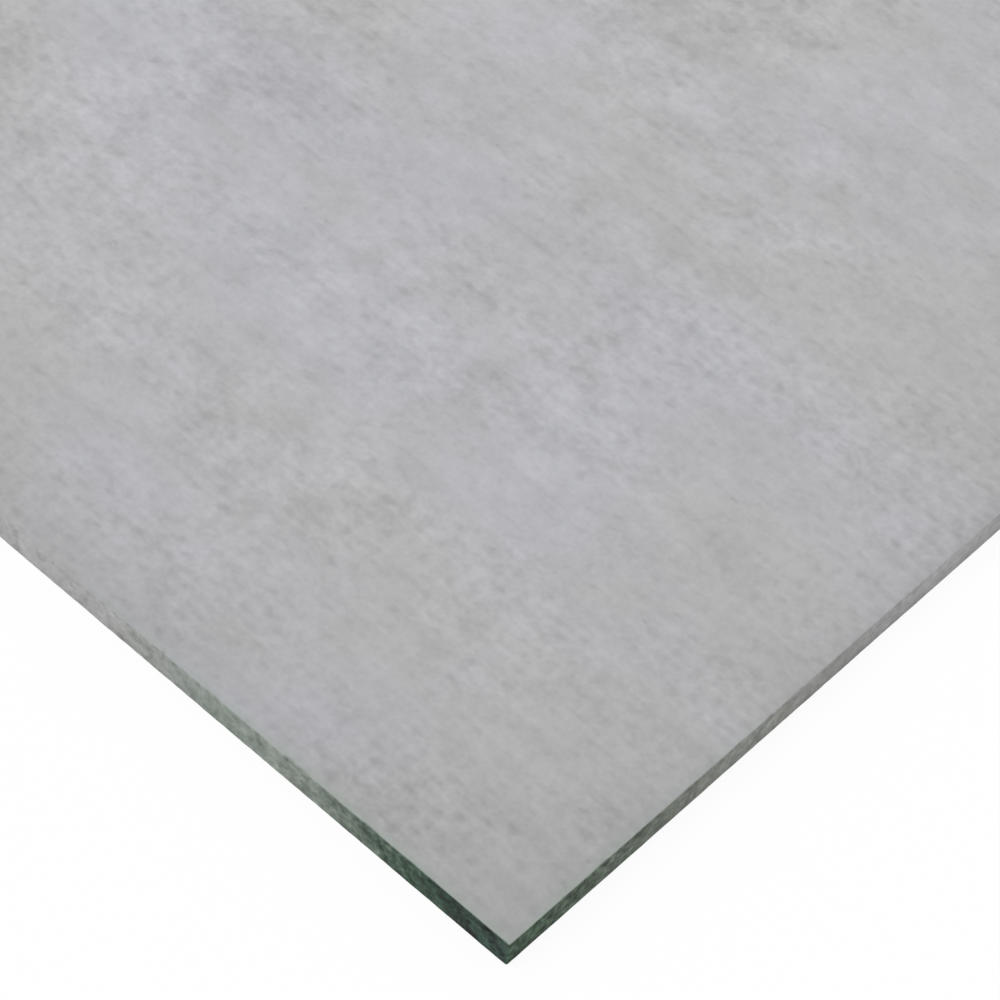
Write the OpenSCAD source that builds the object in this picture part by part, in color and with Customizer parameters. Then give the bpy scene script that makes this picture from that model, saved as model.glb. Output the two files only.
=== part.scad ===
// Fiber cement board: one flat sheet, trimmed square on all four sides, with lightly eased arrises.
// The origin is the middle of the underside. +X runs along the sheet, the way it was rolled,
// +Y runs across it and +Z is up, out of the smooth face. All sizes are in millimetres.

/* [Sheet] */
// Length, along the direction of manufacture
board_length = 2440; // [600:10:3600]
// Width, across the direction of manufacture
board_width = 1220; // [300:10:1500]
// Thickness
board_thickness = 6; // [4:0.5:20]

/* [Edges] */
// Radius that eases the arris between the smooth face and the cut edges
face_arris_radius = 0.4; // [0.2:0.1:1.5]
// Radius that eases the arris between the back and the cut edges
back_arris_radius = 0.2; // [0.2:0.1:1.5]
// Radius of the four corners, seen from above
corner_radius = 0.4; // [0.2:0.1:5]

/* [Hidden] */
cement_grey = [0.71, 0.71, 0.72];
// Extra length of a sweep past the sheet at each end, so that only its profile shapes the sheet
sweep_overrun = 5;
$fn = 48;

board();

// The whole sheet: what the long profile, the cross profile and the plan outline have in common.
module board() {
    color(cement_grey)
        intersection() {
            long_profile_sweep();
            cross_profile_sweep();
            plan_sweep();
        }
}

// The section across the sheet, run along its length: it eases the two long edges.
module long_profile_sweep() {
    rotate([90, 0, 90])
        linear_extrude(board_length + 2 * sweep_overrun, center = true)
            eased_profile(board_width);
}

// The section along the sheet, run across its width: it eases the two end edges.
module cross_profile_sweep() {
    rotate([90, 0, 0])
        linear_extrude(board_width + 2 * sweep_overrun, center = true)
            eased_profile(board_length);
}

// The outline from above, run through the thickness: it rounds the four corners.
module plan_sweep() {
    translate([0, 0, -sweep_overrun])
        linear_extrude(board_thickness + 2 * sweep_overrun)
            rounded_outline(board_length, board_width, corner_radius);
}

// A section of the sheet, standing on the x axis, with the face and back arrises eased on each side.
module eased_profile(span) {
    core_height = board_thickness - face_arris_radius - back_arris_radius;
    translate([0, back_arris_radius]) {
        translate([-span / 2, 0])
            square([span, core_height]);
        translate([0, core_height])
            arris_band(span, face_arris_radius);
        mirror([0, 1])
            arris_band(span, back_arris_radius);
    }
}

// The band between the core of a section and one flat side: a strip with a quarter round at each end.
module arris_band(span, radius) {
    flat_span = span - 2 * radius;
    translate([-flat_span / 2, 0])
        square([flat_span, radius]);
    for (side = [-1, 1])
        translate([side * flat_span / 2, 0])
            circle(radius);
}

// A rectangle about the origin with rounded corners.
module rounded_outline(length, width, radius) {
    flat_length = length - 2 * radius;
    flat_width = width - 2 * radius;
    square([flat_length, width], center = true);
    square([length, flat_width], center = true);
    for (x = [-1, 1], y = [-1, 1])
        translate([x * flat_length / 2, y * flat_width / 2])
            circle(radius);
}
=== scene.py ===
"""The looks of one fiber cement board, lying flat on a pale floor under soft light.

The sheet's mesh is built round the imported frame, in metres: two flat faces, and four cut edges with worn
arrises. Its faces are bare cement, clouded and marked along the length by rolling. Its edges are cut, with
the grain of the layers showing, and one corner carries a sprayed green stacking mark that fades along both
edges.
"""

import math
from collections import namedtuple

import bpy
import numpy as np
from mathutils import Matrix, Vector


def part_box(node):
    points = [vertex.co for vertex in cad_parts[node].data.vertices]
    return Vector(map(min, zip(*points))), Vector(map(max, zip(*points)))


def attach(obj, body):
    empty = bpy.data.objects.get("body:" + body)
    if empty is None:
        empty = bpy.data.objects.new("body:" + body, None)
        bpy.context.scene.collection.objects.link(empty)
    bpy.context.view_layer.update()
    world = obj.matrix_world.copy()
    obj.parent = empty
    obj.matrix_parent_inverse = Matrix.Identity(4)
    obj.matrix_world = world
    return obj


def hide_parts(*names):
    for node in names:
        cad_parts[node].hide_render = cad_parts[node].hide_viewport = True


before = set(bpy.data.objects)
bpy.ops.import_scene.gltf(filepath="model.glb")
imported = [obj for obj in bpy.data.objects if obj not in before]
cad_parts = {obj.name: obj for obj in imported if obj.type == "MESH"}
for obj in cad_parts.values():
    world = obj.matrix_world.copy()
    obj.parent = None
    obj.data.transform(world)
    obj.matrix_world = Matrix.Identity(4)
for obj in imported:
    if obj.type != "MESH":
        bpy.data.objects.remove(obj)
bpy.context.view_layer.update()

MM = 0.001
QUARTER_TURN = math.radians(90)
BOARD_NODE = "board"
BODY = "root"
CEMENT_SLOT = "fiber_cement"
PIECE_NAME = "fiber_cement_sheet"

# The sheet, from the frame
low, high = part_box(BOARD_NODE)
HALF_LENGTH = (high.x - low.x) / 2
HALF_WIDTH = (high.y - low.y) / 2
THICKNESS = high.z - low.z
MARKED_CORNER = Vector((high.x, low.y, high.z))
MARK_MIDDLE = (high.x, low.y, low.z + THICKNESS / 2)

# Corners of the outline, seen from above and in turn, starting with the marked one
CORNER_SIGNS = ((1, -1), (1, 1), (-1, 1), (-1, -1))
SIDES = len(CORNER_SIGNS)
LAST_SIDE = SIDES - 1
CORNER_RADIUS = 0.40 * MM
LEAST_RADIUS = 0.12 * MM
ARC_STEPS = 8

# Columns round the outline: their spacing, and how it grows past a reach from the marked corner
FINE_STEP = 0.45 * MM
COARSE_STEP = 2.2 * MM
FINE_REACH = 135 * MM
STEP_GROWTH = 0.02

# Trial places in each fine step, from which graded places are worked out
TRIALS_PER_STEP = 4

# The faces: where the edge's rows end on them, and the grid that fills the rest
FACE_MARGIN = 2.2 * MM
GRID_MARGIN = 6 * MM
GRID_FINE_STEP = 10 * MM
GRID_COARSE_STEP = 60 * MM
GRID_GROWTH = 0.12

# Waves along the outline: how far apart the knots of each are, and its seed
Wave = namedtuple("Wave", "spacing seed")
LONG_WAVE = Wave(9 * MM, 11)
SHORT_WAVE = Wave(1.6 * MM, 12)
CHIPS = Wave(2.6 * MM, 13)
BACK_WAVE = Wave(3 * MM, 14)
FINE_CUT = Wave(0.9 * MM, 20)
COARSE_CUT = Wave(4 * MM, 120)
SPARE_KNOTS = 3

# Worn arrises: their size, how far they wave, and how deep and how common the chips are
FACE_ARRIS = 0.34 * MM
BACK_ARRIS = 0.16 * MM
FACE_ARRIS_WAVE = 0.10 * MM
BACK_ARRIS_WAVE = FACE_ARRIS_WAVE / 2
LONG_WAVE_SHARE = 0.6
CHIP_DEPTH = 0.9 * MM
CHIP_LEVEL = 0.62
LEAST_CHIP_SHARE = 0.25
ARRIS_STEPS = 3

# The rough cut, which is torn deeper on the long edges past a start from the marked corner
CUT_DEPTH = 0.05 * MM
TORN_DEPTH = 0.10 * MM
TEAR_START = 12 * MM
TEAR_RISE = 40 * MM
FINE_CUT_SHARE = 0.65

# Rows down the cut: how many steps they make, and how far the lowest one's seed lies from the first's
WALL_ROWS = 5
LOWEST_ROW_SEED = 20

# The map for the finish: its name, its span across, and a band up it for each side
MAP_NAME = "OFBake"
MAP_SPAN = (0.004, 0.996)
FACE_BAND = (0.366, 0.996)
BACK_BAND = (0.150, 0.358)
EDGE_BANDS = ((0.004, 0.046), (0.100, 0.118), (0.124, 0.142), (0.052, 0.094))

# The share of a run on the map that is spent near the marked corner, and how far that reaches
CROWDED_SHARE = 0.5
CROWDED_REACH = 200 * MM

# Camera: the corner's pixel in the 1000 by 1000 picture, the focal length in pixels and the viewing angles
PICTURE_SIDE = 1000
CORNER_PIXEL = (509.75, 946.2)
FOCAL_PIXELS = 4050
SENSOR_WIDTH = 36
NEAR_CLIP = 10 * MM
CAMERA_AZIMUTH = math.radians(-36.33)
CAMERA_PITCH = math.radians(51.70)
CAMERA_ROLL = math.radians(-8.28)
CORNER_DEPTH = 107.1 * THICKNESS

# Noise: how far each step of a seed moves it, its roughness, and the values that most of it lies between
NOISE_STEP = (3.7, 5.3, 1.9)
NOISE_ROUGHNESS = 0.8
NOISE_LOW = 0.25
NOISE_HIGH = 0.75

# Noise layers: size along, across and through the sheet in mm, octaves after the first, seed, and tone
Layer = namedtuple("Layer", "long across deep octaves seed tone", defaults=(0,))

# Layers of the faces
SHEET = Layer(420, 190, 3, 1, 30, 0.030)
BAND = Layer(1500, 62, 3, 1, 5, 0.020)
CLOUD = Layer(40, 36, 3, 1, 7, 0.050)
BLOTCH = Layer(10, 8.5, 3, 1, 12, 0.058)
FLECK = Layer(2.2, 2.1, 1.6, 1, 3, 0.045)
GRAIN = Layer(0.8, 0.7, 0.5, 0, 15, 0.018)
STREAK = Layer(14, 3.0, 3, 0, 5, 0.020)
DASH = Layer(2.8, 2.0, 1.6, 0, 27, -0.055)
LINE = Layer(24, 2.2, 3, 0, 31, -0.035)
PIT = Layer(3.4, 2.2, 2.0, 0, 6, -0.12)
HUE = Layer(110, 80, 3, 1, 16)
BUSY = Layer(44, 26, 3, 1, 18)
PRESS = Layer(9, 2.4, 2, 1, 21)

# Layers of the cut edges
LAMINA = Layer(24, 24, 0.8, 1, 8, 0.05)
SPECKLE = Layer(1.4, 1.4, 1.4, 1, 2, 0.16)
CRUMB = Layer(4, 4, 4, 1, 14, 0.12)
HOLLOW = Layer(2.0, 2.0, 2.4, 0, 11, -0.17)

# Noise values at which a mark starts to show, and at which it shows in full
DASH_LEVELS = (0.70, 0.92)
LINE_LEVELS = (0.72, 0.86)
PIT_LEVELS = (0.86, 0.96)
HOLLOW_LEVELS = (0.56, 0.80)

# Calm and busy areas of the faces: noise values, strengths of the marks there, and the pull on the dashes
BUSY_LEVELS = (0.34, 0.66)
BUSY_STRENGTHS = (0.65, 1.35)
BUSY_DASHES = 0.16

# Strengths of the clouds, the mottling and the felt's mark far from the edges, and right at them
CLOUD_STRENGTHS = (1.15, 0.6)
MOTTLE_STRENGTHS = (1.3, 0.4)
PRESS_STRENGTHS = (0.8, 1.35)
PRESS_CHANGE = 0.8

# The weave of the felt that pressed the faces: its repeats, its sway, and how far its parts darken them
WEAVE_LONG = 6.77 * MM
WEAVE_ACROSS = 4.78 * MM
WEAVE_SWAY = 0.7
WEAVE_DASHES = 0.013
WEAVE_ROWS = 0.0095
WEAVE_COLUMNS = 0.0075

# How far the calmer border, the painted shade that darkens the face towards its edges and the rim of the face
# reach in, and what they do to its tone
BORDER_REACH = 50 * MM
PAINTED_SHADE_REACH = 30 * MM
RIM_REACH = 5 * MM
PAINTED_SHADE_TONE = -0.105
CORNER_PAINTED_SHADE = 0.45
RIM_TONE = -0.05

# The back: the heights between which it takes over from the face, and its tone
BACK_HEIGHTS = (low.z + 0.4 * THICKNESS, low.z + 0.2 * THICKNESS)
BACK_TONE = -0.05

# The cement's two hues, and how far the layers and the painted shade at the edges pull it to the cool one
WARM_CEMENT = (0.471, 0.470, 0.477, 1)
COOL_CEMENT = (0.466, 0.468, 0.494, 1)
COOL_SPAN = (-0.6, 0.6)
HUE_COOL = 0.9
CLOUD_COOL = 0.6
BLOTCH_COOL = 0.2
SHEET_COOL = 0.1
PAINTED_SHADE_COOL = -0.2

# Fine relief: the bump, and the height of each kind of mark beside that of the flecks
BUMP_DEPTH = 0.12 * MM
BUMP_STRENGTH = 0.6
GRAIN_HEIGHT = 0.5
WEAVE_HEIGHT = -20.0
PIT_HEIGHT = -0.5
SPECKLE_HEIGHT = 2.5
HOLLOW_HEIGHT = -1.5

# Shine of the cement
ROUGHNESS = 0.88
ROUGHNESS_CHANGE = 0.06
SPECULAR_LEVEL = 0.19

# What changes along the edges: two distances from the marked corner, and the values there
TORN_RUN = (15 * MM, 60 * MM, 0.0, 1.0)
MARK_GRIT_RUN = (8 * MM, 34 * MM, 4.2, 1.0)
RAW_GRIT_RUN = (50 * MM, 95 * MM, 1.3, 0.7)
WET_RUN = (14 * MM, 52 * MM, -0.15, 0.0)
MIST_RUN = (50 * MM, 105 * MM, 1.0, 0.0)

# On the ends: how much sooner the mist stops, and the share of the tearing that they have
END_MIST_LEAD = 35 * MM
END_TORN_SHARE = 0.4

# What changes next to an arris: two distances from it, and the values there
CORNER_WEAR_RUN = (0.2 * MM, 0.9 * MM, 0.35, 0.0)
MIST_EDGE_RUN = (0.3 * MM, 2.2 * MM, 0.5, 0.0)

# How softly side turns to end and face turns to cut, and the painted shade that darkens a chip's hollow
CORNER_SOFTNESS = 1 * MM
CUT_LEVELS = (0.1, 0.75)
CHIP_SHADE_TONE = -0.22

# The green mark on the two edges that meet at its corner: millimetres from the corner and the colour there
RAW_EDGE = (0.393, 0.393, 0.393, 1)
MARK_END = 106
SIDE_MARK = (
    (0, (0.023, 0.041, 0.034, 1)), (16, (0.026, 0.050, 0.034, 1)), (24, (0.042, 0.073, 0.050, 1)),
    (36, (0.145, 0.180, 0.150, 1)), (52, (0.255, 0.285, 0.255, 1)), (66, (0.250, 0.288, 0.258, 1)),
    (84, (0.309, 0.317, 0.306, 1)), (MARK_END, RAW_EDGE),
)
END_MARK = (
    (0, (0.034, 0.062, 0.036, 1)), (10, (0.052, 0.083, 0.054, 1)), (28, (0.118, 0.145, 0.115, 1)),
    (46, (0.225, 0.240, 0.212, 1)), (72, (0.305, 0.310, 0.294, 1)), (88, (0.315, 0.316, 0.310, 1)),
    (MARK_END, RAW_EDGE),
)
MIST_COLOUR = (0.335, 0.392, 0.345, 1)
SPECKLE_SCATTER = 4.5 * MM
CRUMB_SCATTER = 4 * MM

# Floor and light
FLOOR_REACH = 30
FLOOR_DROP = 0.1 * MM
FLOOR_COLOUR = (0.92, 0.92, 0.92, 1)
FLOOR_WHITENESS = 0.93
WHITE = (1, 1, 1, 1)
SURROUND_LEVEL = 0.70
LAMP_SPREAD = math.radians(50)
LAMP_ENERGY = 1.2
LAMP_WAY = Vector((0.45, 0.5, -1.0))


def wander(places, wave, row=0):
    """Smooth seeded values from -1 to 1 along a run of places, changing over about one spacing."""
    knots = int(places.max() / wave.spacing) + SPARE_KNOTS
    values = np.random.default_rng(wave.seed + row).uniform(-1, 1, knots)
    return np.interp(places / wave.spacing, np.arange(knots), values)


def mixed(places, first, second, share, row=0):
    """Two waves as one, of which the first has the given share."""
    return share * wander(places, first, row) + (1 - share) * wander(places, second, row)


def graded(length, fine, coarse, reach, growth, fine_at_start, fine_at_end):
    """Places from 0 to length, a fine step apart near each end that is fine and a coarse step elsewhere."""
    trials = np.linspace(0, length, int(length / fine) * TRIALS_PER_STEP)
    apart = np.full_like(trials, np.inf)
    if fine_at_start:
        apart = np.minimum(apart, trials)
    if fine_at_end:
        apart = np.minimum(apart, length - trials)
    step = np.minimum(coarse, fine + growth * np.maximum(apart - reach, 0))
    count = np.concatenate([[0], np.cumsum(np.diff(trials) / step[1:])])
    steps = math.ceil(count[-1])
    return np.interp(np.linspace(0, count[-1], steps + 1), count, trials)


class Outline:
    """The columns that stand round the sheet, in turn from the marked corner, seen from above."""

    def __init__(self):
        shares, normals, turns, self.starts = [], [], [], []
        for corner, (sign_x, sign_y) in enumerate(CORNER_SIGNS):
            self.starts.append(len(shares))
            first_angle = QUARTER_TURN * (corner - 1)
            for step in range(ARC_STEPS + 1):
                angle = first_angle + QUARTER_TURN * step / ARC_STEPS
                shares.append((sign_x, sign_y))
                normals.append((math.cos(angle), math.sin(angle)))
                turns.append(corner)
            side_normal = normals[-1]
            next_x, next_y = CORNER_SIGNS[(corner + 1) % SIDES]
            half = HALF_WIDTH if sign_x == next_x else HALF_LENGTH
            length = 2 * (half - CORNER_RADIUS)
            fine_ends = (corner == 0, corner == LAST_SIDE)
            places = graded(length, FINE_STEP, COARSE_STEP, FINE_REACH, STEP_GROWTH, *fine_ends)
            for way in places[1:-1] / length:
                shares.append((sign_x + way * (next_x - sign_x), sign_y + way * (next_y - sign_y)))
                normals.append(side_normal)
                turns.append(corner + way)
        self.share = np.array(shares)
        self.normal = np.array(normals)
        self.turn = np.array(turns)
        self.count = len(shares)
        edge = self.places(np.zeros(self.count))
        steps = np.linalg.norm(np.diff(edge, axis=0, append=edge[:1]), axis=1)
        self.run = np.concatenate([[0], np.cumsum(steps)[:-1]])
        self.perimeter = steps.sum()
        self.from_mark = np.linalg.norm(edge - np.array(MARKED_CORNER)[:2], axis=1)

    def places(self, inset):
        """Each column's place in plan, moved in from the outline by its own inset."""
        radius = np.maximum(CORNER_RADIUS - inset, LEAST_RADIUS)
        x = self.share[:, 0] * (HALF_LENGTH - inset - radius) + self.normal[:, 0] * radius
        y = self.share[:, 1] * (HALF_WIDTH - inset - radius) + self.normal[:, 1] * radius
        return np.stack([x, y], 1)


def edge_rows(outline):
    """The rings of the cut edge from face to back: inset, height, share of cut and share of chip of each."""
    run = outline.run
    long_edge = np.abs(outline.normal[:, 1])
    torn = long_edge * np.clip((outline.from_mark - TEAR_START) / TEAR_RISE, 0, 1)
    chip_room = np.maximum(wander(run, CHIPS) - CHIP_LEVEL, 0) / (1 - CHIP_LEVEL)
    chip = chip_room * (LEAST_CHIP_SHARE + (1 - LEAST_CHIP_SHARE) * torn)
    wave = FACE_ARRIS_WAVE * mixed(run, LONG_WAVE, SHORT_WAVE, LONG_WAVE_SHARE)
    face_arris = FACE_ARRIS + wave + CHIP_DEPTH * chip
    back_arris = BACK_ARRIS + BACK_ARRIS_WAVE * wander(run, BACK_WAVE)
    depth = CUT_DEPTH + (TORN_DEPTH - CUT_DEPTH) * torn
    insets = [
        depth * (1 + mixed(run, FINE_CUT, COARSE_CUT, FINE_CUT_SHARE, row)) / 2
        for row in (*range(WALL_ROWS), LOWEST_ROW_SEED)
    ]
    wall_top, wall_bottom = high.z - face_arris, low.z + back_arris
    level = np.ones(outline.count)
    none = np.zeros(outline.count)
    rows = [(FACE_MARGIN * level, high.z * level, 0.0, none)]
    for step in range(ARRIS_STEPS):
        angle = QUARTER_TURN * step / ARRIS_STEPS
        inset = insets[0] + face_arris * (1 - math.sin(angle))
        rows.append((inset, wall_top + face_arris * math.cos(angle), step / ARRIS_STEPS, chip))
    for row, inset in enumerate(insets):
        height = wall_top + row / WALL_ROWS * (wall_bottom - wall_top)
        rows.append((inset, height, 1.0, chip if row == 0 else none))
    for step in range(1, ARRIS_STEPS + 1):
        angle = QUARTER_TURN * step / ARRIS_STEPS
        inset = insets[-1] + back_arris * (1 - math.cos(angle))
        rows.append((inset, wall_bottom - back_arris * math.sin(angle), 1 - step / ARRIS_STEPS, none))
    rows.append((FACE_MARGIN * level, low.z * level, 0.0, none))
    return rows


def grid_lines(half, fine_at_start):
    """Places of the lines across one face, close together towards the marked corner."""
    length = 2 * (half - GRID_MARGIN)
    fine_ends = (fine_at_start, not fine_at_start)
    places = graded(length, GRID_FINE_STEP, GRID_COARSE_STEP, FINE_REACH, GRID_GROWTH, *fine_ends)
    return places - length / 2


def zipped(outer, outer_turn, inner, inner_turn):
    """Triangles that fill the band between two rings of points, from how far round each point lies."""
    faces = []
    outer_next = np.append(outer_turn[1:], SIDES)
    inner_next = np.append(inner_turn[1:], SIDES)
    i, j = 0, 0
    while i < len(outer) or j < len(inner):
        here, there = outer[i % len(outer)], inner[j % len(inner)]
        if j == len(inner) or (i < len(outer) and outer_next[i] <= inner_next[j]):
            faces.append((here, outer[(i + 1) % len(outer)], there))
            i += 1
        else:
            faces.append((here, inner[(j + 1) % len(inner)], there))
            j += 1
    return faces


class FaceGrid:
    """The grid that fills a face: places in plan, quads, and the rim in turn from the marked corner."""

    def __init__(self):
        grid_x, grid_y = np.meshgrid(grid_lines(HALF_LENGTH, False), grid_lines(HALF_WIDTH, True))
        self.places = np.column_stack([grid_x.ravel(), grid_y.ravel()])
        self.count = grid_x.size
        index = np.arange(self.count).reshape(grid_x.shape)
        quads = np.stack([index[:-1, :-1], index[:-1, 1:], index[1:, 1:], index[1:, :-1]], -1)
        self.quads = quads.reshape(-1, 4)
        sides = (index[:-1, -1], index[-1, :0:-1], index[:0:-1, 0], index[0, :-1])
        self.rim = np.concatenate(sides)
        turns = [side + np.arange(len(part)) / len(part) for side, part in enumerate(sides)]
        self.turn = np.concatenate(turns)

    def faces(self, start, ring, ring_turn):
        """Faces of the band inside a ring and of the grid, whose points are numbered from a start."""
        band = zipped(ring, ring_turn, (start + self.rim).tolist(), self.turn)
        return band + list(map(tuple, (start + self.quads).tolist()))


def crowded(way, length):
    """Shares from 0 to 1 along a length, with extra room near its start."""
    near = (1 - np.exp(-way / CROWDED_REACH)) / (1 - math.exp(-length / CROWDED_REACH))
    return CROWDED_SHARE * near + (1 - CROWDED_SHARE) * way / length


def banded(share_across, share_up, band):
    """Places on the map, from shares of its width and of one band's height."""
    across = MAP_SPAN[0] + share_across * (MAP_SPAN[1] - MAP_SPAN[0])
    up = band[0] + share_up * (band[1] - band[0])
    return np.stack(np.broadcast_arrays(across, up), -1)


def face_map(points):
    """Places on the map for points of the smooth face, seen from above."""
    from_end = crowded(HALF_LENGTH - points[:, 0], 2 * HALF_LENGTH)
    from_side = crowded(HALF_WIDTH + points[:, 1], 2 * HALF_WIDTH)
    return banded(1 - from_end, from_side, FACE_BAND)


def back_map(points):
    """Places on the map for points of the back, seen from below and spaced evenly."""
    from_end = (HALF_LENGTH - points[:, 0]) / (2 * HALF_LENGTH)
    from_side = (HALF_WIDTH + points[:, 1]) / (2 * HALF_WIDTH)
    return banded(from_end, from_side, BACK_BAND)


def edge_map(outline, upper_share, lower_share):
    """Places on the map for the corners of each quad in one row of the edge, side after side."""
    ends = np.append(outline.run[1:], outline.perimeter)
    quads = []
    for side, start in enumerate(outline.starts):
        stop = outline.starts[side + 1] if side < LAST_SIDE else outline.count
        origin = outline.run[start]
        length = ends[stop - 1] - origin
        here, there = outline.run[start:stop] - origin, ends[start:stop] - origin
        if side == 0:
            here, there = crowded(here, length), crowded(there, length)
        elif side == LAST_SIDE:
            here, there = 1 - crowded(length - here, length), 1 - crowded(length - there, length)
        else:
            here, there = here / length, there / length
        band = EDGE_BANDS[side]
        low_pair = banded(here, lower_share, band), banded(there, lower_share, band)
        high_pair = banded(there, upper_share, band), banded(here, upper_share, band)
        quads.append(np.stack(low_pair + high_pair, 1))
    return np.concatenate(quads).reshape(-1, 2)


def edge_faces(outline, rings):
    """Quads between the rings of the edge, and the places of their corners on the map."""
    faces, mapped = [], []
    points = np.concatenate(rings)
    last = len(rings) - 1
    column = np.arange(outline.count)
    following = np.roll(column, -1)
    for row in range(last):
        upper, lower = row * outline.count, (row + 1) * outline.count
        quads = np.column_stack([lower + column, lower + following, upper + following, upper + column])
        faces.extend(map(tuple, quads.tolist()))
        if row == 0:
            mapped.append(face_map(points[quads.ravel()]))
        elif row == last - 1:
            mapped.append(back_map(points[quads.ravel()]))
        else:
            upper_share, lower_share = (1 - (ring - 1) / (last - 2) for ring in (row, row + 1))
            mapped.append(edge_map(outline, upper_share, lower_share))
    return faces, mapped


def add_object(name, data):
    """A new object in the scene, made of the given data."""
    made = bpy.data.objects.new(name, data)
    bpy.context.scene.collection.objects.link(made)
    return made


def build_board():
    """The sheet as one closed mesh, with the shares of cut edge and of chip kept at each point."""
    outline, grid = Outline(), FaceGrid()
    rows = edge_rows(outline)
    points = [np.column_stack([outline.places(inset), height]) for inset, height, cut, chip in rows]
    cuts = [np.full(outline.count, cut) for inset, height, cut, chip in rows]
    chips = [chip for inset, height, cut, chip in rows]
    faces, mapped = edge_faces(outline, points)
    for row, height, flat_map in ((0, high.z, face_map), (len(rows) - 1, low.z, back_map)):
        start = sum(len(part) for part in points)
        ring = range(row * outline.count, (row + 1) * outline.count)
        flat = grid.faces(start, ring, outline.turn)
        if row > 0:
            flat = [face[::-1] for face in flat]
        points.append(np.column_stack([grid.places, np.full(grid.count, height)]))
        cuts.append(np.zeros(grid.count))
        chips.append(np.zeros(grid.count))
        faces += flat
        mapped.append(flat_map(np.concatenate(points)[[corner for face in flat for corner in face]]))
    mesh = bpy.data.meshes.new(PIECE_NAME)
    mesh.from_pydata(np.concatenate(points).tolist(), [], faces)
    mesh.uv_layers.new(name=MAP_NAME).data.foreach_set("uv", np.concatenate(mapped).ravel())
    for name, values in (("cut", cuts), ("chip", chips)):
        mesh.attributes.new(name, "FLOAT", "POINT").data.foreach_set("value", np.concatenate(values))
    mesh.polygons.foreach_set("use_smooth", np.ones(len(mesh.polygons), bool))
    mesh.validate()
    return add_object(PIECE_NAME, mesh)


def add_camera():
    """The camera that sees the marked corner at its pixel, from the angles above."""
    forward = Vector((
        math.cos(CAMERA_PITCH) * math.sin(CAMERA_AZIMUTH),
        math.cos(CAMERA_PITCH) * math.cos(CAMERA_AZIMUTH),
        -math.sin(CAMERA_PITCH),
    ))
    level_right = Vector((math.cos(CAMERA_AZIMUTH), -math.sin(CAMERA_AZIMUTH), 0))
    level_down = forward.cross(level_right)
    right = math.cos(CAMERA_ROLL) * level_right + math.sin(CAMERA_ROLL) * level_down
    down = math.cos(CAMERA_ROLL) * level_down - math.sin(CAMERA_ROLL) * level_right
    across = (CORNER_PIXEL[0] - PICTURE_SIDE / 2) / FOCAL_PIXELS
    below = (CORNER_PIXEL[1] - PICTURE_SIDE / 2) / FOCAL_PIXELS
    place = MARKED_CORNER - CORNER_DEPTH * (forward + across * right + below * down)
    camera = add_object("camera", bpy.data.cameras.new("camera"))
    camera.data.sensor_width = SENSOR_WIDTH
    camera.data.lens = SENSOR_WIDTH * FOCAL_PIXELS / PICTURE_SIDE
    camera.data.clip_start = NEAR_CLIP
    turned = Matrix((right, -down, -forward)).transposed().to_4x4()
    camera.matrix_world = Matrix.Translation(place) @ turned
    bpy.context.scene.camera = camera


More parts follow.
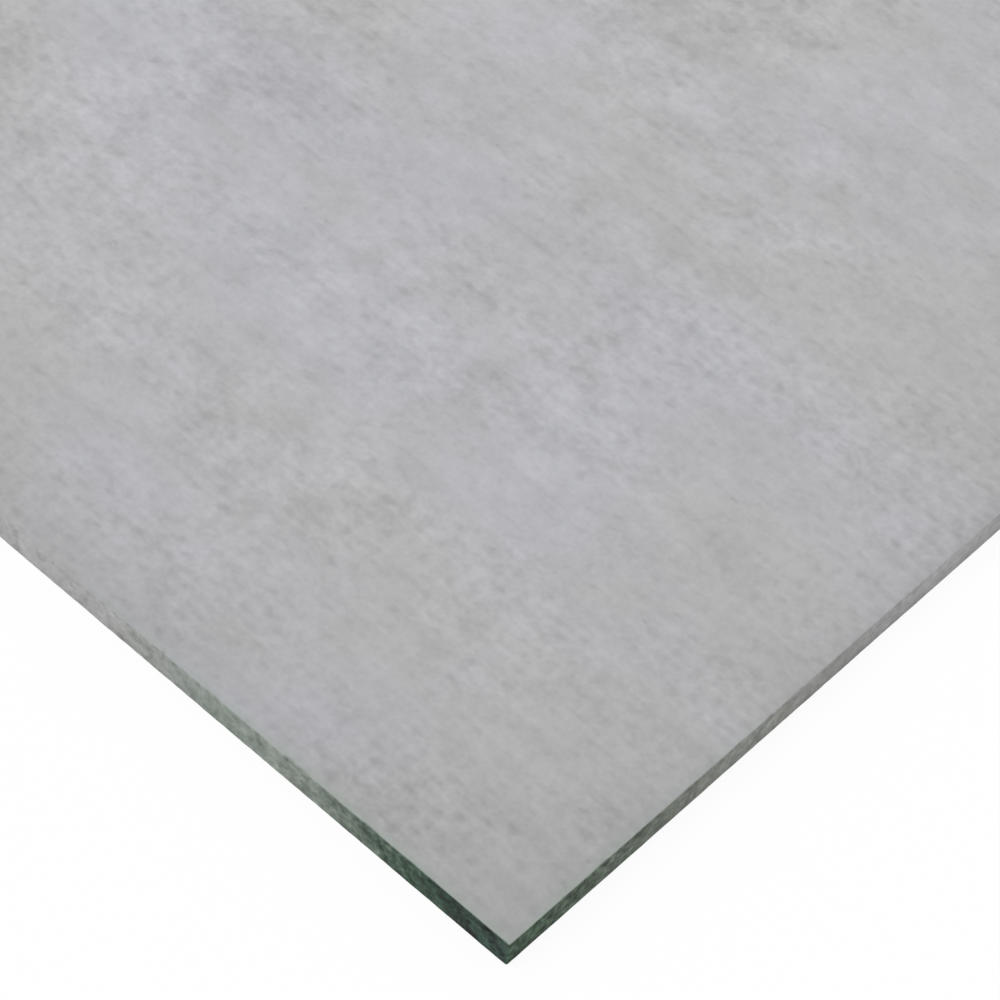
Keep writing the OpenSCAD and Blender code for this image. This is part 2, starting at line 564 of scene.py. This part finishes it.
class Nodes:
    """Adds nodes to one tree. Each method but the first returns the socket that the next node reads."""

    def __init__(self, owner):
        owner.use_nodes = True
        self.tree = owner.node_tree
        self.tree.nodes.clear()

    def node(self, kind, inputs, **settings):
        """A new node, with its inputs linked to sockets or set to values."""
        made = self.tree.nodes.new(kind)
        for name, value in settings.items():
            setattr(made, name, value)
        for key, value in inputs.items():
            if isinstance(value, bpy.types.NodeSocket):
                self.tree.links.new(value, made.inputs[key])
            else:
                made.inputs[key].default_value = value
        return made

    def math(self, operation, first, second=0.0):
        return self.node("ShaderNodeMath", {0: first, 1: second}, operation=operation).outputs[0]

    def times(self, first, second):
        return self.math("MULTIPLY", first, second)

    def total(self, *values):
        result = values[0]
        for value in values[1:]:
            result = self.math("ADD", result, value)
        return result

    def noise(self, place, layer):
        """Cloudy values round 0.5, in lumps of about the layer's size."""
        shrink = tuple(1 / (span * MM) for span in (layer.long, layer.across, layer.deep))
        offset = tuple(layer.seed * step for step in NOISE_STEP)
        inputs = {0: place, 1: shrink, 2: offset}
        shifted = self.node("ShaderNodeVectorMath", inputs, operation="MULTIPLY_ADD").outputs[0]
        octaves = float(layer.octaves)
        inputs = {"Vector": shifted, "Scale": 1.0, "Detail": octaves, "Roughness": NOISE_ROUGHNESS}
        return self.node("ShaderNodeTexNoise", inputs).outputs["Fac"]

    def moved(self, value, start, end, first, last, **settings):
        """A value moved from the span between start and end to the span between first and last."""
        inputs = {"Value": value, "From Min": start, "From Max": end, "To Min": first, "To Max": last}
        return self.node("ShaderNodeMapRange", inputs, **settings).outputs["Result"]

    def ramp(self, value, start, end, first=0.0, last=1.0):
        """A smooth change from first to last as the value goes from start to end."""
        return self.moved(value, start, end, first, last, interpolation_type="SMOOTHSTEP")

    def line(self, value, start, end, first=0.0, last=1.0):
        """An even change from first to last as the value goes from start to end, and no further."""
        return self.moved(value, start, end, first, last)

    def between(self, share, first, last):
        """An even change from first to last as a share goes from 0 to 1."""
        return self.moved(share, 0.0, 1.0, first, last)

    def spread(self, value, reach):
        """A noise value moved to lie round zero, mostly between minus reach and reach."""
        return self.moved(value, NOISE_LOW, NOISE_HIGH, -reach, reach, clamp=False)

    def fade(self, distance, reach):
        """A share that is 1 at no distance and falls off over about the reach."""
        return self.math("EXPONENT", self.times(distance, -1 / reach))

    def toned(self, colour, tone):
        """A colour made lighter or darker by a share of itself."""
        factor = self.math("ADD", tone, 1.0)
        made = self.node("ShaderNodeVectorMath", {0: colour, "Scale": factor}, operation="SCALE")
        return made.outputs[0]

    def stops(self, value, marks):
        """A colour that changes evenly between marks, each a place in millimetres and the colour there."""
        made = self.node("ShaderNodeValToRGB", {0: value})
        elements = made.color_ramp.elements
        while len(elements) < len(marks):
            elements.new(1.0)
        for element, (place, colour) in zip(elements, marks):
            element.position = place / marks[-1][0]
            element.color = colour
        return made.outputs["Color"]

    def blend(self, factor, first, second):
        return self.node("ShaderNodeMix", {0: factor, 6: first, 7: second}, data_type="RGBA").outputs[2]

    def seen(self):
        """1 for rays that show things to the camera, also by way of gloss or glass, and 0 for the rest."""
        path = self.node("ShaderNodeLightPath", {}).outputs
        shown = self.math("MAXIMUM", path["Is Camera Ray"], path["Is Glossy Ray"])
        return self.math("MAXIMUM", shown, path["Is Transmission Ray"])


def woven_mark(n, axes, sway):
    """Dents of the felt's weave: dashes in even rows, each row set half a repeat along from the next."""
    along = n.total(n.times(axes["X"], 2 * math.pi / WEAVE_LONG), sway)
    across = n.total(n.times(axes["Y"], 2 * math.pi / WEAVE_ACROSS), sway)
    dashes = n.times(n.math("COSINE", along), n.math("COSINE", across))
    rows = n.math("COSINE", n.times(across, 2.0))
    columns = n.math("COSINE", n.times(along, 2.0))
    return n.total(
        n.times(dashes, WEAVE_DASHES), n.times(rows, WEAVE_ROWS), n.times(columns, WEAVE_COLUMNS)
    )


def face_look(n, place, axes, border, painted_shade_margin, rim, back):
    """Colour and height of the bare cement faces, with painted shade towards their edges, and their blotches,
    which also change the shine.
    """
    sheet, band, cloud, blotch, fleck, grain, streak = (
        n.noise(place, layer) for layer in (SHEET, BAND, CLOUD, BLOTCH, FLECK, GRAIN, STREAK)
    )
    busy = n.ramp(n.noise(place, BUSY), *BUSY_LEVELS, *BUSY_STRENGTHS)
    calm = n.math("SUBTRACT", sum(BUSY_STRENGTHS), busy)
    mottled = n.times(busy, n.between(border, *MOTTLE_STRENGTHS))
    clouded = n.between(border, *CLOUD_STRENGTHS)
    dashes = n.ramp(n.total(n.noise(place, DASH), n.times(busy, BUSY_DASHES)), *DASH_LEVELS)
    lines = n.ramp(n.noise(place, LINE), *LINE_LEVELS)
    pits = n.ramp(n.noise(place, PIT), *PIT_LEVELS)
    press = n.total(n.spread(n.noise(place, PRESS), PRESS_CHANGE), 1.0)
    pressed = n.times(n.times(n.total(busy, back), press), n.between(border, *PRESS_STRENGTHS))
    weave = n.times(woven_mark(n, axes, n.spread(blotch, WEAVE_SWAY)), pressed)
    tone = n.total(
        n.spread(sheet, SHEET.tone), n.spread(band, BAND.tone), n.times(n.spread(cloud, CLOUD.tone), clouded),
        n.times(n.spread(blotch, BLOTCH.tone), mottled),
        n.times(n.spread(fleck, FLECK.tone), busy), n.spread(grain, GRAIN.tone),
        n.times(dashes, DASH.tone), n.times(lines, LINE.tone),
        n.times(n.spread(streak, STREAK.tone), calm),
        n.times(weave, -1.0), n.times(pits, PIT.tone),
        # Painted shade: darker towards each edge, most where end and side meet
        n.times(painted_shade_margin, PAINTED_SHADE_TONE), n.times(rim, RIM_TONE), n.times(back, BACK_TONE),
    )
    cool = n.total(
        n.spread(n.noise(place, HUE), HUE_COOL), n.spread(cloud, CLOUD_COOL), n.spread(blotch, BLOTCH_COOL),
        n.spread(sheet, SHEET_COOL), n.times(painted_shade_margin, PAINTED_SHADE_COOL),
    )
    hue = n.blend(n.ramp(cool, *COOL_SPAN), WARM_CEMENT, COOL_CEMENT)
    height = n.total(
        fleck, n.times(grain, GRAIN_HEIGHT), n.times(weave, WEAVE_HEIGHT), n.times(pits, PIT_HEIGHT)
    )
    return n.toned(hue, tone), height, blotch


def edge_look(n, place, reach, on_end, chip, wear):
    """Colour and height of the cut edges with their mark and painted shade in the chips, and the speckle,
    which also changes the shine.
    """
    lamina, speckle, crumb = (n.noise(place, layer) for layer in (LAMINA, SPECKLE, CRUMB))
    torn = n.times(n.line(reach, *TORN_RUN), n.between(on_end, 1.0, END_TORN_SHARE))
    hollow = n.times(n.ramp(n.noise(place, HOLLOW), *HOLLOW_LEVELS), torn)
    grit = n.total(
        n.spread(lamina, LAMINA.tone), n.spread(speckle, SPECKLE.tone), n.spread(crumb, CRUMB.tone)
    )
    grit = n.times(n.times(grit, n.line(reach, *MARK_GRIT_RUN)), n.line(reach, *RAW_GRIT_RUN))
    # Chips are darkened with painted shade in their hollows
    tone = n.total(grit, wear, n.times(hollow, HOLLOW.tone), n.times(chip, CHIP_SHADE_TONE))
    height = n.total(n.times(speckle, SPECKLE_HEIGHT), n.times(hollow, HOLLOW_HEIGHT))
    scattered = n.total(reach, n.spread(speckle, SPECKLE_SCATTER), n.spread(crumb, CRUMB_SCATTER))
    along = n.times(scattered, 1 / (MARK_END * MM))
    marked = n.blend(on_end, n.stops(along, SIDE_MARK), n.stops(along, END_MARK))
    return n.toned(marked, tone), height, speckle


def cement_material():
    """Bare cement on the faces, raw cut layers on the edges and the green mark at one corner."""
    material = bpy.data.materials.new(CEMENT_SLOT)
    n = Nodes(material)
    place = n.node("ShaderNodeTexCoord", {}).outputs["Object"]
    axes = n.node("ShaderNodeSeparateXYZ", {0: place}).outputs
    cut, chip = (
        n.node("ShaderNodeAttribute", {}, attribute_name=name).outputs["Fac"] for name in ("cut", "chip")
    )
    from_end = n.math("SUBTRACT", HALF_LENGTH, n.math("ABSOLUTE", axes["X"]))
    from_side = n.math("SUBTRACT", HALF_WIDTH, n.math("ABSOLUTE", axes["Y"]))
    nearest = n.math("MINIMUM", from_end, from_side)
    on_end = n.ramp(n.math("SUBTRACT", from_side, from_end), -CORNER_SOFTNESS, CORNER_SOFTNESS)
    reach = n.node("ShaderNodeVectorMath", {0: place, 1: MARK_MIDDLE}, operation="DISTANCE").outputs["Value"]

    border, rim = (n.fade(nearest, inward) for inward in (BORDER_REACH, RIM_REACH))
    # Painted shade: the face darkens and turns less cool towards each edge, and most at a corner where both
    # meet
    end_painted_shade, side_painted_shade = (n.fade(distance, PAINTED_SHADE_REACH) for distance in (from_end, from_side))
    corner_painted_shade = n.times(n.times(end_painted_shade, side_painted_shade), CORNER_PAINTED_SHADE)
    painted_shade_margin = n.total(end_painted_shade, side_painted_shade, corner_painted_shade)
    back = n.line(axes["Z"], *BACK_HEIGHTS)
    wear = n.ramp(n.math("MAXIMUM", from_end, from_side), *CORNER_WEAR_RUN)
    face_colour, face_height, blotch = face_look(n, place, axes, border, painted_shade_margin, rim, back)
    edge_colour, edge_height, speckle = edge_look(n, place, reach, on_end, chip, wear)

    mist_way = n.total(reach, n.times(on_end, END_MIST_LEAD))
    mist = n.times(n.ramp(nearest, *MIST_EDGE_RUN), n.line(mist_way, *MIST_RUN))
    misted = n.blend(mist, face_colour, MIST_COLOUR)
    wet = n.times(n.line(reach, *WET_RUN), cut)
    uneven = n.total(n.spread(blotch, ROUGHNESS_CHANGE), n.spread(speckle, ROUGHNESS_CHANGE), wet)
    bare = n.math("SUBTRACT", 1.0, cut)
    height = n.total(n.times(face_height, bare), n.times(edge_height, cut))
    relief = {"Strength": BUMP_STRENGTH, "Distance": BUMP_DEPTH, "Height": height}
    shader = n.node("ShaderNodeBsdfPrincipled", {
        "Base Color": n.blend(n.ramp(cut, *CUT_LEVELS), misted, edge_colour),
        "Roughness": n.math("ADD", uneven, ROUGHNESS),
        "Specular IOR Level": SPECULAR_LEVEL,
        "Normal": n.node("ShaderNodeBump", relief).outputs[0],
    }).outputs[0]
    n.node("ShaderNodeOutputMaterial", {"Surface": shader})
    return material


def add_floor():
    """A wide pale floor that reads as white to the camera and still takes the sheet's shadow."""
    mesh = bpy.data.meshes.new("floor")
    points = [(x * FLOOR_REACH, y * FLOOR_REACH, low.z - FLOOR_DROP) for x, y in CORNER_SIGNS]
    mesh.from_pydata(points, [], [tuple(range(SIDES))])
    floor = add_object("floor", mesh)
    material = bpy.data.materials.new("pale_floor")
    n = Nodes(material)
    pale = n.node("ShaderNodeBsdfDiffuse", {"Color": FLOOR_COLOUR}).outputs[0]
    white = n.node("ShaderNodeEmission", {"Color": WHITE, "Strength": 1.0}).outputs[0]
    share = n.times(n.seen(), FLOOR_WHITENESS)
    surface = n.node("ShaderNodeMixShader", {0: share, 1: pale, 2: white}).outputs[0]
    n.node("ShaderNodeOutputMaterial", {"Surface": surface})
    mesh.materials.append(material)


def add_light():
    """An even pale surround that reads as white to the camera, and one broad lamp from above on its left."""
    world = bpy.data.worlds.new("surround")
    bpy.context.scene.world = world
    n = Nodes(world)
    level = n.between(n.seen(), SURROUND_LEVEL, 1.0)
    light = n.node("ShaderNodeBackground", {"Color": WHITE, "Strength": level}).outputs[0]
    n.node("ShaderNodeOutputWorld", {"Surface": light})
    lamp = bpy.data.lights.new("broad_lamp", "SUN")
    lamp.angle = LAMP_SPREAD
    lamp.energy = LAMP_ENERGY
    holder = add_object("broad_lamp", lamp)
    holder.rotation_mode = "QUATERNION"
    holder.rotation_quaternion = LAMP_WAY.to_track_quat("-Z", "Y")


board = build_board()
board.data.materials.append(cement_material())
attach(board, BODY)
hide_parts(BOARD_NODE)

add_camera()
add_floor()
add_light()
bpy.context.scene.view_settings.view_transform = "Standard"
